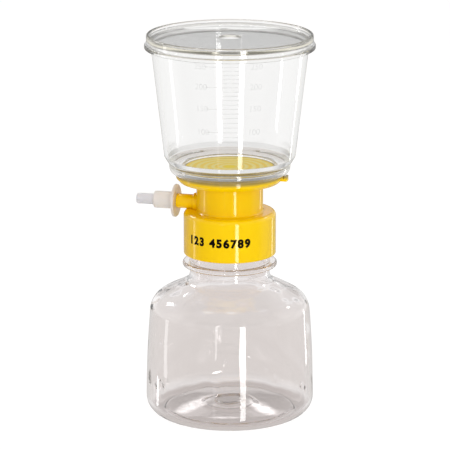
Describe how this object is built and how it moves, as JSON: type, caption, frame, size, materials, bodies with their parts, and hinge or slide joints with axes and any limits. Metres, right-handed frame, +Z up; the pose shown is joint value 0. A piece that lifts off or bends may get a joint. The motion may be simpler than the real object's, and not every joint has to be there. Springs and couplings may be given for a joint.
{
  "type": "vacuum filtration unit",
  "caption": "Bottle-top vacuum filter: clear lidded funnel over a membrane, yellow screw collar with a vacuum port, and a clear receiver bottle.",
  "frame": {"origin": "centre of the foot ring, in the plane it stands on", "axes": "+Z up along the common axis of bottle, collar and funnel; the vacuum port points along -X"},
  "size_m": [0.0996, 0.093, 0.2129],
  "materials": {
    "bottle_polystyrene": "blown clear polystyrene, glossy",
    "gasket_silicone": "moulded silicone, satin",
    "collar_polymer": "moulded yellow ABS, glossy",
    "connector_polypropylene": "moulded natural polypropylene, satin and slightly translucent",
    "plug_wadding": "water-repellent fibre wadding",
    "membrane_polymer": "microporous polymer membrane, wetted and translucent",
    "funnel_polystyrene": "moulded clear polystyrene, glossy",
    "lid_polystyrene": "moulded clear polystyrene, glossy"
  },
  "bodies": {
    "receiver": {"bottle": "bottle_polystyrene"},
    "gasket": {"neck_gasket": "gasket_silicone"},
    "filter_head": {"filter_collar": "collar_polymer", "hose_connector": "connector_polypropylene", "port_plug": "plug_wadding", "membrane": "membrane_polymer", "funnel": "funnel_polystyrene"},
    "cover": {"lid": "lid_polystyrene"}
  },
  "joints": [
    {"name": "gasket_lift", "type": "slide", "parent": "receiver", "child": "gasket", "axis": [0, 0, 1], "range_m": [0, 0.012]},
    {"name": "collar_turn", "type": "hinge", "parent": "gasket", "child": "filter_head", "pos_m": [0, 0, 0.1129], "axis": [0, 0, 1], "range_deg": [0, 1080]},
    {"name": "lid_lift", "type": "slide", "parent": "filter_head", "child": "cover", "axis": [0, 0, 1], "range_m": [0, 0.03]}
  ],
  "couplings": [
    {"joint": "gasket_lift", "follows": "collar_turn", "m_per_rad": 0.00063662}
  ]
}
